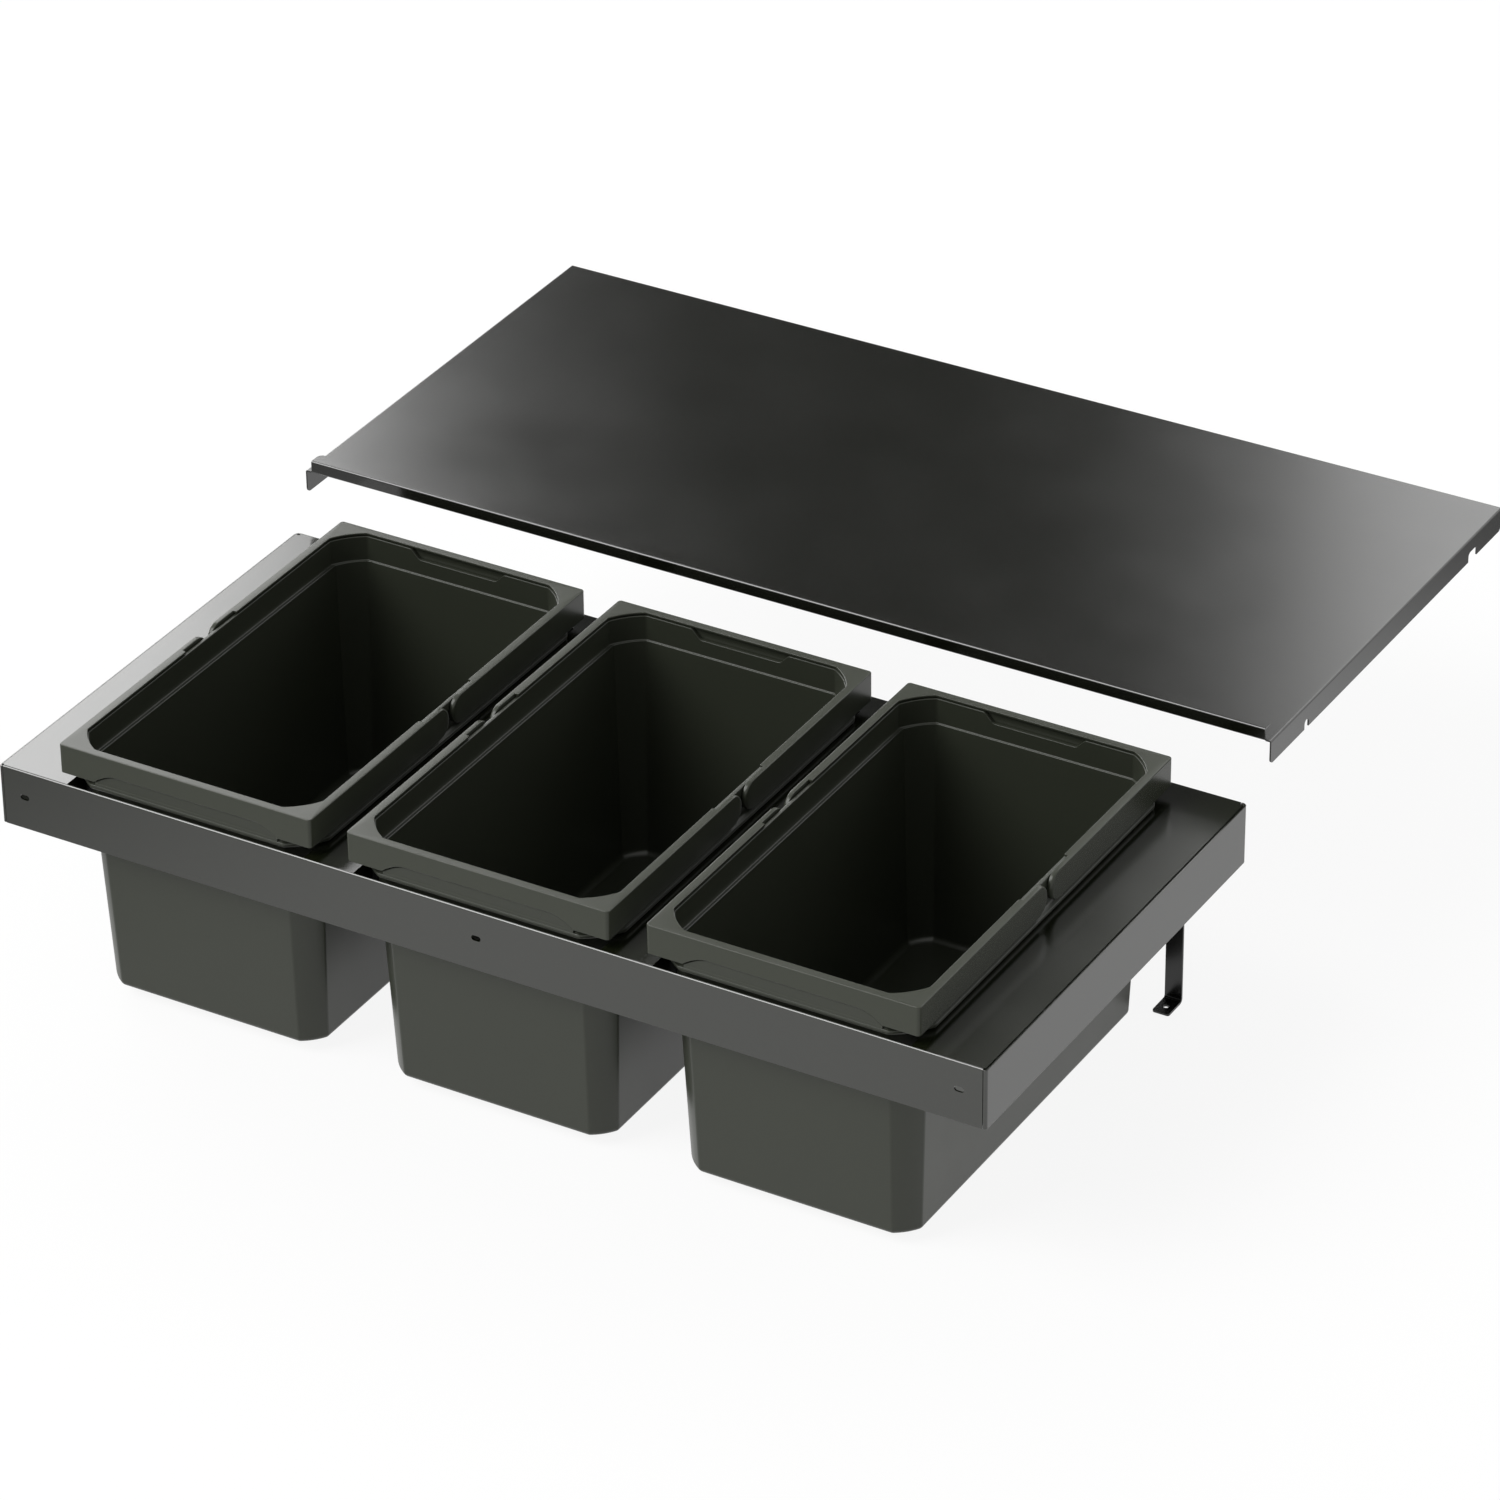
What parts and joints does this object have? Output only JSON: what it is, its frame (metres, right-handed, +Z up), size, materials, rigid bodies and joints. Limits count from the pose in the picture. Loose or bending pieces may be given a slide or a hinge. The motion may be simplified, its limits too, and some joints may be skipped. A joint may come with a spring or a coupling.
{
  "type": "pull-out waste sorting insert",
  "caption": "Pull-out waste sorting insert: a folded steel frame that carries lift-out bins with swinging carry bails, rear support straps and a sheet lid that stays behind on cabinet pegs.",
  "frame": {"origin": "on the outer face of the front apron, in the middle of its width, 36 mm below the top of the frame", "axes": "+X to the right, +Y to the back of the cabinet, +Z up"},
  "size_m": [0.855, 0.8378, 0.243],
  "materials": {
    "frame_paint": "satin powder coat, dark olive grey",
    "lid_paint": "satin powder coat, dark olive grey, a little glossier than the frame",
    "strap_paint": "satin dark powder coat",
    "rivet_steel": "bare steel blind rivet",
    "bin_plastic": "fine moulded grain, dark olive grey",
    "bail_plastic": "fine moulded grain, dark olive grey"
  },
  "bodies": {
    "frame": {"frame_top_panel": "frame_paint", "side_cheek_left": "frame_paint", "side_cheek_right": "frame_paint", "support_strap_left": "strap_paint", "support_strap_right": "strap_paint", "strap_rivet_left_1": "rivet_steel", "strap_rivet_left_2": "rivet_steel", "strap_rivet_right_1": "rivet_steel", "strap_rivet_right_2": "rivet_steel"},
    "lid_sheet": {"lid": "lid_paint"},
    "left_bin": {"bin_left": "bin_plastic"},
    "left_front_bail": {"front_bail_left": "bail_plastic"},
    "left_rear_bail": {"rear_bail_left": "bail_plastic"},
    "middle_bin": {"bin_middle": "bin_plastic"},
    "middle_front_bail": {"front_bail_middle": "bail_plastic"},
    "middle_rear_bail": {"rear_bail_middle": "bail_plastic"},
    "right_bin": {"bin_right": "bin_plastic"},
    "right_front_bail": {"front_bail_right": "bail_plastic"},
    "right_rear_bail": {"rear_bail_right": "bail_plastic"}
  },
  "joints": [
    {"name": "lid_run", "type": "slide", "parent": "frame", "child": "lid_sheet", "axis": [0, 1, 0], "range_m": [-0.4323, 0]},
    {"name": "left_bin_lift", "type": "slide", "parent": "frame", "child": "left_bin", "axis": [0, 0, 1], "range_m": [0, 0.23]},
    {"name": "left_front_bail_swing", "type": "hinge", "parent": "left_bin", "child": "left_front_bail", "pos_m": [-0.255, 0.18195, 0.0565], "axis": [-1, 0, 0], "range_deg": [0, 90]},
    {"name": "left_rear_bail_swing", "type": "hinge", "parent": "left_bin", "child": "left_rear_bail", "pos_m": [-0.255, 0.21155, 0.0565], "axis": [1, 0, 0], "range_deg": [0, 90]},
    {"name": "middle_bin_lift", "type": "slide", "parent": "frame", "child": "middle_bin", "axis": [0, 0, 1], "range_m": [0, 0.23]},
    {"name": "middle_front_bail_swing", "type": "hinge", "parent": "middle_bin", "child": "middle_front_bail", "pos_m": [0, 0.18195, 0.0565], "axis": [-1, 0, 0], "range_deg": [0, 90]},
    {"name": "middle_rear_bail_swing", "type": "hinge", "parent": "middle_bin", "child": "middle_rear_bail", "pos_m": [0, 0.21155, 0.0565], "axis": [1, 0, 0], "range_deg": [0, 90]},
    {"name": "right_bin_lift", "type": "slide", "parent": "frame", "child": "right_bin", "axis": [0, 0, 1], "range_m": [0, 0.23]},
    {"name": "right_front_bail_swing", "type": "hinge", "parent": "right_bin", "child": "right_front_bail", "pos_m": [0.255, 0.18195, 0.0565], "axis": [-1, 0, 0], "range_deg": [0, 90]},
    {"name": "right_rear_bail_swing", "type": "hinge", "parent": "right_bin", "child": "right_rear_bail", "pos_m": [0.255, 0.21155, 0.0565], "axis": [1, 0, 0], "range_deg": [0, 90]}
  ]
}
